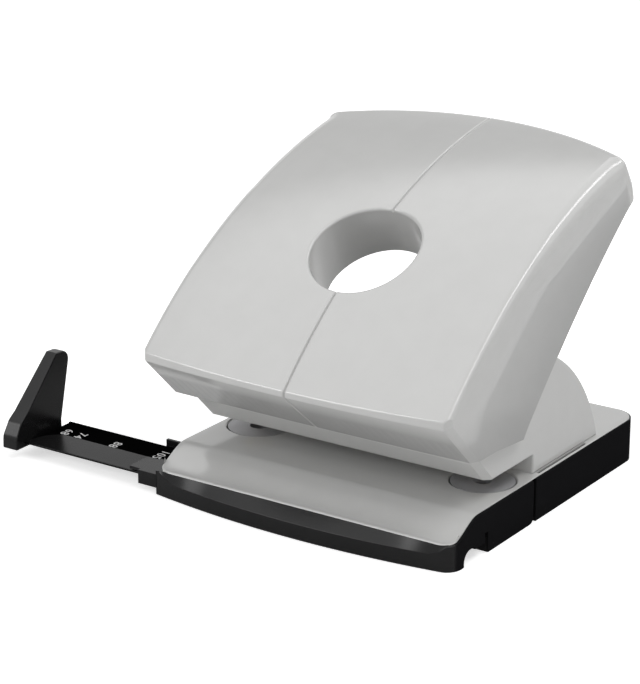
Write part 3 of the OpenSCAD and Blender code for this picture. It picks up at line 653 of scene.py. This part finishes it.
tray_x = end_columns(half_base, [tray_rim, right_r, left_r], 6)
tray_x = np.unique(np.r_[tray_x, np.linspace(-corner_x, corner_x, 40)])
tray_r = np.r_[0.5, 2.0, 1.2, np.zeros(curve_points), 0.3]
edge = np.arange(len(tray_r))
is_rim = (edge >= 1) & (edge < len(tray_r) - 2)
tray_in = [np.where(is_rim, round_end(x, half_base, tray_rim), 0) for x in tray_x]
grid, quads, rings, _ = skin(tray_x, [tray_outline(x) for x in tray_x], tray_r, tray_in, hold=0.1)
# the hollow has round front corners, and a block stays in it for the finger recess
a = np.linspace(0, np.pi / 2, 7)
left = np.stack([hollow_r * (1 - np.cos(a)) - hollow_x, hollow_y + hollow_r * (1 - np.sin(a))], 1)
hollow = np.concatenate([left, (left * [-1, 1])[::-1], [[hollow_x, above], [-hollow_x, above]]])
hollow = cut(prism(hollow, floor_t, above), [slab((37.5, 51), (-49.3, -32.5), (0, 5.8))])
arch = np.stack([recess_y - recess_r * np.cos(a), recess_z + recess_r * np.sin(a)], 1)
recess = [[-47.5, -1], [-34.3, -1], [-34.3, 3.5], [-41.5, 3.5], [-41.5, 4.4]]
recess = np.concatenate([recess, arch[::-1]])
# the finger recess and the latch's slot on the right, the room for the hinge, the way for the rail
cuts = [hollow, prism(recess, 40.3, 54, 0), slab((49.5, 54), (-36.1, -34.3), (0, 6.5)),
        slab((-hollow_x, hollow_x), (-9.9, 12), (-1, 12)),
        slab((-54, -46.5), (-53.5, -24.2), (1.6, above))]
tray_mesh = cut(mesh_from("tray_shell", grid.reshape(-1, 3), [quads], rings), cuts)
placed("tray_shell", tray_mesh, "tray", walled, ["chip_tray"])

# %% [markdown]
# ## The lever cover
#
# The cover is one moulded shell: a back that curves round a far axis and is slightly crowned across,
# a bowed lip with a sloping apron below it, a bowed tail that rolls over, and sides that end in a long
# curved foot. A box with bevels would miss the bow and the crown, so each column across the lever is
# its own side outline, worked out from those rules, and all the columns together are the skin.

# %% Sizes of the lever cover, in millimetres
half_lever = 53.0
back_y, back_z, back_r, crown = 76.6, -87.5, 191.6, 1.4
lip_y, lip_z, lip_bow = -60.9, 44.3, 500.0
apron_y, apron_z, apron_bow = -44.6, 30.2, 1800.0
sole_y, sole_z, heel_y, heel_z = -32.0, 30.2, -16.6, 28.9
foot_y, foot_z, foot_l, foot_h, foot_bulge = -14.2, 32.0, 61.2, 54.4, 11.0
# the tail: radius about its centre on the middle plane, and height, of its lower edge and two bends
tail_centre, tail_r, tail_z = -64.5, 124.0, 86.4
bend_r, bend_z, roll_r, roll_z = 122.9, 90.6, 118.5, 98.8
back_start, back_end = 2.4, 1.6  # how far the back's stations stay from its two ends
hole_y, hole_z, hole_tilt, hole_r = -19.8, 78.1, math.radians(30.2), 17.0
hole_edge, collar_t, wall = 0.9, 1.9, 1.9


# %% Shape of the lever's back
def back_radius(x):
    """Radius of the curved back at x: it drops by the crown times (x / half width) squared."""
    return back_r - crown * (x / half_lever) ** 2


def angle_at(y, x):
    """Angle round the back's axis, from straight up towards the rear, of the back at y."""
    return np.arcsin((y - back_y) / back_radius(x))


def lever_outline(x, hole_angles):
    """Corners of the lever's side outline at x, anticlockwise from the apron's lower edge.

    Lip and apron move back by x^2 / (2 * bow). The tail stands on circles round a point on the middle
    plane. The back's corners stand at even shares of the way between the tail, the hole and the lip.
    """
    bow, low = x ** 2 / (2 * lip_bow), x ** 2 / (2 * apron_bow)
    t = np.linspace(0, 0.92, 9)
    foot = np.stack([foot_y + foot_l * t, foot_z + foot_h * t + foot_bulge * t * (1 - t)], 1)

    def tail(r):
        return tail_centre + np.sqrt(r * r - x * x)

    def single(y, z):
        return np.stack([np.atleast_1d(y), np.atleast_1d(z)], 1)

    b = single(tail(tail_r)[n_low], tail_z)
    t1 = single(tail(bend_r)[n_low + 1], bend_z)
    t2 = single(tail(roll_r)[n_low + 1], roll_z)
    middle = x[n_low + 2]
    # where the last slope meets the back: a quadratic in the way s along it
    d = (t2 - t1)[0] / np.linalg.norm(t2 - t1)
    q = t1[0] - np.array([back_y, back_z])
    s = -(q @ d) + math.sqrt((q @ d) ** 2 - (q @ q - back_radius(middle) ** 2))
    t3 = t1 + s * d
    rear = angle_at(t3[0, 0] - back_start, middle)
    lip_back = lip_y + bow[-1]
    front = angle_at(lip_back + back_end, x[-1])
    xb = x[back_rows]
    r = back_radius(xb)
    th = np.concatenate([rear + (hole_angles[0] - rear) * rear_share, hole_angles,
                         hole_angles[-1] + (front - hole_angles[-1]) * front_share])
    back = np.stack([back_y + r * np.sin(th), back_z + r * np.cos(th)], 1)
    top = single(lip_back, back_z + math.sqrt(back_radius(x[-1]) ** 2 - (lip_back - back_y) ** 2))
    sole = [single(apron_y + low[0], apron_z), single(sole_y, sole_z), single(heel_y, heel_z)]
    return np.concatenate([*sole, foot, b, t1, t3, back, top, single(lip_back, lip_z)])


# %% Stations along the back, closer together round the finger hole
groove_half = 0.8
rear_share = np.linspace(0, 1, 16)[:-1]
front_share = np.linspace(0, 1, 15)[1:]
n_low, n_hole = 12, 29
n_back = len(rear_share) + n_hole + len(front_share)
back_rows = slice(n_low + 3, n_low + 3 + n_back)
at_hole = np.arange(n_hole) + back_rows.start + len(rear_share)
corner_r = np.concatenate([np.zeros(n_low), [0.8, 8, 2.2], np.zeros(n_back), [1.3, 1.0]])
lever_closed = np.arange(len(corner_r)) >= n_low
front_edges = np.arange(len(corner_r)) >= len(corner_r) - 2
# the rounding between back and side: crisp at the lip, ever softer towards the tail
share = np.linspace(1, 0, n_back)
lip_r, side_low_r, tail_side_r = 1.6, 2.2, 3.4
side_r = np.concatenate([np.linspace(lip_r, side_low_r, n_low), [side_low_r, side_low_r, tail_side_r],
                         lip_r + 3.4 * share ** 1.5, [lip_r, lip_r]])


def hole_stations(edge_r, radius):
    """Angles round the back's axis and half widths of a round hole of radius edge_r at even turns.

    A point of the back at angle a lies k + radius * sin(a + tilt) up the slope from the hole's axis.
    """
    t0 = math.asin(groove_half / edge_r)
    up = edge_r * np.cos(np.linspace(t0, np.pi - t0, n_hole))
    k = (back_y - hole_y) * math.cos(hole_tilt) + (back_z - hole_z) * math.sin(hole_tilt)
    return np.arcsin((up - k) / radius) - hole_tilt, np.sqrt(edge_r ** 2 - up ** 2)


# %% The lever cover's two skins
turn_a = np.linspace(0, np.pi / 2, 7)
groove_x = np.array([0, 0.14, 0.34, 0.46, groove_half])
groove_deep = np.array([0.8, 0.62, 0.1, 0.0, 0.0])


def lever_skin(depth, edge_r, side, groove):
    """One skin of the cover, `depth` inside the outer form, its side fillet side[k] at corner k.

    Columns run from the groove to the fillets at even shares, then round them: x = half - side *
    (1 - sin a), drawn in by side * (1 - cos a). Beside the hole they are pushed apart:
    x = hole edge + share * (last column - hole edge).
    """
    half = half_lever - depth
    far = half - side - 0.3
    flat = np.linspace(0, 1, 18)[1:, None]
    sin, cos = np.sin(turn_a)[:, None], np.cos(turn_a)[:, None]
    even = np.ones(len(side))
    half_x = np.concatenate([groove_x[:, None] * even, groove_half + flat * (far - groove_half),
                             half - side * (1 - sin), [half * even]])
    first_side = len(groove_x) + len(flat)
    side_in = np.concatenate([np.zeros((first_side, len(side))), side * (1 - cos), [side + 0.25]])
    strip = wall * np.clip((half_x - half + 1.5) / 1.5, 0, 1)
    strip[-1] += 0.25
    deep = np.zeros(len(half_x))
    deep[:len(groove_x)] = groove_deep * groove
    angles, hole_x = hole_stations(edge_r, back_r - depth)
    xs, outlines, insets = [], [], []
    order = np.arange(1 - len(half_x), len(half_x))
    for i, sign in zip(abs(order), np.where(order < 0, -1, 1)):
        x = half_x[i].copy()
        if len(groove_x) - 1 <= i < first_side:
            reach = far[at_hole] - groove_half
            x[at_hole] = hole_x + (far[at_hole] - hole_x) * (x[at_hole] - groove_half) / reach
        inset = depth + np.where(front_edges, strip[i], side_in[i]) + deep[i]
        xs.append(sign * x)
        outlines.append(lever_outline(x, angles))
        insets.append(np.where(lever_closed, inset, 0))
    return skin(xs, outlines, corner_r, insets, lever_closed)


collar_r = hole_r + collar_t
grid, quads, rings, owner = lever_skin(0, hole_r + hole_edge, side_r, 1)
inner_grid = lever_skin(wall, collar_r, np.maximum(side_r - wall, 0.3), 0)[0]
columns, n = grid.shape[:2]
# the finger hole stays open: no faces between the columns beside it, along its stations
mid = columns // 2
column, row = quads[:, 0] // n, quads[:, 0] % n
beside = (column >= mid - 4) & (column < mid + 4)
quads = quads[~(beside & (owner[row] >= at_hole[0]) & (owner[row] < at_hole[-1]))]


# %% The finger hole's collar
def station(col, corner):
    """Place in the point list of a back station on one column."""
    return col * n + np.searchsorted(owner, corner)


inner_columns = np.arange(mid - 3, mid + 4)
hole_ring = np.concatenate([station(mid + 4, at_hole), station(inner_columns[::-1], at_hole[-1]),
                            station(mid - 4, at_hole[::-1]), station(inner_columns, at_hole[0])])
tube_end = -18.0  # the collar's lower end, from the hole's centre along its line
hole_centre = np.array([0, hole_y, hole_z])
hole_up = np.array([0, -math.sin(hole_tilt), math.cos(hole_tilt)])
hole_side = np.array([0, math.cos(hole_tilt), math.sin(hole_tilt)])


def tube(rim, radius, edge):
    """Rings from the hole's rim down its wall: a quarter circle of radius `edge`, then a cylinder."""
    rel = rim - hole_centre
    w, h = rel @ hole_side, rel @ hole_up
    radial = np.hypot(rel[:, 0], w)
    a = np.linspace(0, np.pi / 2, 7)[:, None]
    out = radius + (radial - radius) * (1 - np.sin(a))
    out = np.concatenate([out, np.full((3, len(rim)), radius)])
    low = np.full((1, len(rim)), tube_end)
    up = np.concatenate([h - edge * (1 - np.cos(a)), [h - edge - 0.3 * (edge > 0)], low + 0.3, low])
    return (hole_centre + (out * rel[:, 0] / radial)[..., None] * np.array([1.0, 0, 0])
            + (out * w / radial)[..., None] * hole_side + up[..., None] * hole_up)


outer, inner = grid.reshape(-1, 3), inner_grid.reshape(-1, 3)
outer_tube = tube(outer[hole_ring], hole_r, hole_edge)
inner_tube = tube(inner[hole_ring], collar_r, 0.0)
tube_quads = faces_between(len(outer_tube), len(hole_ring), True, len(outer))[:, ::-1]
outer = np.concatenate([outer, outer_tube.reshape(-1, 3)])
inner = np.concatenate([inner, inner_tube.reshape(-1, 3)])
points, quads, rings = thick(outer, inner, np.concatenate([quads, tube_quads]), rings)
piece("lever_shell", points, quads, rings, "lever", "grey_plastic", grey, ["lever_cover"])

# %% [markdown]
# ## The housing
#
# The housing is a fixed hood over the punches. Seen from the side it has a sloping jaw in front, the
# throat that the paper goes into, and a round rear. Its two front corners are cut at a slant.

# %% Sizes of the housing, in millimetres
half_house, house_wall, house_rim = 50.0, 2.1, 0.7
slot_z, jaw_y, jaw_h, throat_y, frame_z = 19.7, -30.3, 7.6, -5.1, 29.5
jaw_cut, jaw_cut_w = 1.5, 2.3
fin_y, fin_z, fin_r, shoulder_z = -19.25, -2.7, 55.9, 46.9

# %% The housing's skin
fin_from, fin_to = [math.asin((z - fin_z) / fin_r) for z in (plate_z, shoulder_z)]
fin_a = np.linspace(fin_from, fin_to, 30)
fin = np.stack([fin_y + fin_r * np.cos(fin_a), fin_z + fin_r * np.sin(fin_a)], 1)
low_front = [[jaw_y, slot_z], [throat_y, slot_z], [throat_y, plate_z]]
high_front = [[-14.1, 45.9], [-28.0, 39.9], [-35.9, frame_z], [jaw_y - jaw_h, slot_z + jaw_h]]
house = np.concatenate([low_front, fin, high_front])
house_r = np.r_[0.5, 0.8, 0, np.zeros(len(fin)), 0.6, 0.6, 0, 1.0]
jaw_edge = np.arange(len(house)) == len(house) - 1
house_x = np.r_[-half_house, end_columns(half_house, [house_rim, jaw_cut_w]), half_house]
jaw_in = jaw_cut * np.clip((abs(house_x) - half_house + jaw_cut_w) / jaw_cut_w, 0, 1)
rim_in = round_end(house_x, half_house, house_rim)
flat_end = np.r_[0.2, np.zeros(len(house_x) - 2), 0.2]
insets = [np.where(jaw_edge, jaw, rim) + end for jaw, rim, end in zip(jaw_in, rim_in, flat_end)]
grid, quads, rings, _ = skin(house_x, [house] * len(house_x), house_r, insets)
house_mesh = mesh_from("housing_shell", grid.reshape(-1, 3), [quads], rings)

# %% The housing's cavity
# the hollow, its open underside, the way for the lever's steel frame, and a hole for each punch.
# Known fault: cut in a row like this the first two are lost, so the shell stays filled below the
# frame's way. The hollow's outline crosses itself at its rear lower corner, which may be why.
inside, _ = drawn_in(house, house_r, house_wall)
cuts = [prism(inside, -47.9, 47.9, 0), slab(bay, (-2.9, 31.6), (12.7, 17.7)),
        slab(bay, (-47.1, -4.6), (frame_z, 56)), *at_punches([[0, 15], [5.6, 15], [5.6, 31], [0, 31]])]
placed("housing_shell", cut(house_mesh, cuts), "base", grey, ["housing"])

# %% [markdown]
# ## Floor, light and camera
#
# The photograph is a cut-out on pure white with soft studio light: a broad bright ceiling, a darker
# strip above and behind that the lever's back mirrors as a grey band, and almost no shadow. The floor
# is white to the camera and through glass, a little lifted in mirrors, and only its shadow shows.


# %% The world
def seen(nodes, links, *kinds):
    """1 for rays of the named kinds, straight from the camera, a mirror or glass, and 0 for others."""
    ray = nodes.new("ShaderNodeLightPath")
    total = ray.outputs[f"Is {kinds[0]} Ray"]
    for kind in kinds[1:]:
        total = math_node(nodes, links, "ADD", total, ray.outputs[f"Is {kind} Ray"], clamp=True)
    return total


white, room_light = 1.0, 0.47  # the room as the camera sees it, and as it lights matt surfaces
dark_side, bright_side = 0.35, 2.1  # the room as the gloss mirrors it
world = bpy.data.worlds.new("studio")
bpy.context.scene.world = world
world.use_nodes = True
nodes, links = world.node_tree.nodes, world.node_tree.links
sky = nodes["Background"]
sky.inputs["Color"].default_value = (1, 1, 1, 1)
# the room's dark side: how far a direction lies from the plane that the back mirrors as a soft arc
toward = nodes.new("ShaderNodeTexCoord")
facing = nodes.new("ShaderNodeVectorMath")
facing.operation = "DOT_PRODUCT"
facing.inputs[1].default_value = (0.741, -0.201, 0.64)
links.new(toward.outputs["Generated"], facing.inputs[0])
bright = between(nodes, links, facing.outputs["Value"], dark_side, bright_side, -0.055, 0.035,
                 "SMOOTHSTEP")
# near the horizon the room is white again
height = nodes.new("ShaderNodeSeparateXYZ")
links.new(toward.outputs["Generated"], height.inputs[0])
low = between(nodes, links, height.outputs["Z"], 0.0, 1.0, 0.50, 0.40, "SMOOTHSTEP")
room = between(nodes, links, low, bright, white)
mirrored = between(nodes, links, seen(nodes, links, "Glossy", "Transmission"), room_light, room)
shown = between(nodes, links, seen(nodes, links, "Camera"), mirrored, white)
links.new(shown, sky.inputs["Strength"])

# %% The floor
half_floor, glow_shown, glow_mirrored = 3, 0.6, 0.1
floor_mesh = bpy.data.meshes.new("floor")
turns = ((-1, -1), (1, -1), (1, 1), (-1, 1))
floor_mesh.from_pydata([(x * half_floor, y * half_floor, 0) for x, y in turns], [], [(0, 1, 2, 3)])
floor = bpy.data.objects.new("floor", floor_mesh)
bpy.context.scene.collection.objects.link(floor)
floor_paint = bpy.data.materials.new("white floor")
floor_paint.use_nodes = True
nodes, links = floor_paint.node_tree.nodes, floor_paint.node_tree.links
lit = nodes["Principled BSDF"]
lit.inputs["Base Color"].default_value = (0.85, 0.85, 0.85, 1)
lit.inputs["Roughness"].default_value = 0.9
glow = nodes.new("ShaderNodeEmission")
mirrored = between(nodes, links, seen(nodes, links, "Glossy"), 0.0, glow_mirrored)
shown = between(nodes, links, seen(nodes, links, "Camera", "Transmission"), mirrored, 1.0)
links.new(math_node(nodes, links, "MULTIPLY", shown, glow_shown), glow.inputs["Strength"])
both = nodes.new("ShaderNodeAddShader")
links.new(lit.outputs[0], both.inputs[0])
links.new(glow.outputs[0], both.inputs[1])
links.new(both.outputs[0], nodes["Material Output"].inputs["Surface"])
floor_mesh.materials.append(floor_paint)


# %% Lamps
def softbox(name, place, target, size, radiance):
    """A flat area lamp at `place` that looks at `target`; power = radiance * pi * area."""
    lamp = bpy.data.lights.new(name, "AREA")
    lamp.shape = "RECTANGLE"
    lamp.size, lamp.size_y = size
    lamp.energy = radiance * math.pi * size[0] * size[1]
    obj = bpy.data.objects.new(name, lamp)
    obj.location = place
    obj.rotation_euler = (Vector(target) - Vector(place)).to_track_quat("-Z", "Y").to_euler()
    bpy.context.scene.collection.objects.link(obj)


punch_middle = (0, 0, 0.04)
softbox("front key", (-0.85, -1.2, 0.75), punch_middle, (0.8, 0.5), 5.4)
softbox("long strip", (0.62, 0.2, 1.2), punch_middle, (1.7, 0.22), 5.5)
softbox("right wall", (1.4, -0.3, 0.5), punch_middle, (0.8, 0.8), 0.15)

# %% The camera that was fitted to the photograph
camera = bpy.data.cameras.new("camera")
camera.sensor_width = 36.0
camera.lens = 132.34
viewer = bpy.data.objects.new("camera", camera)
viewer.location = (0.38318, -0.60533, 0.28924)
viewer.rotation_euler = (math.radians(90 - 18.942), 0, math.radians(34.248))
bpy.context.scene.collection.objects.link(viewer)
bpy.context.scene.camera = viewer
bpy.context.scene.view_settings.view_transform = "Standard"
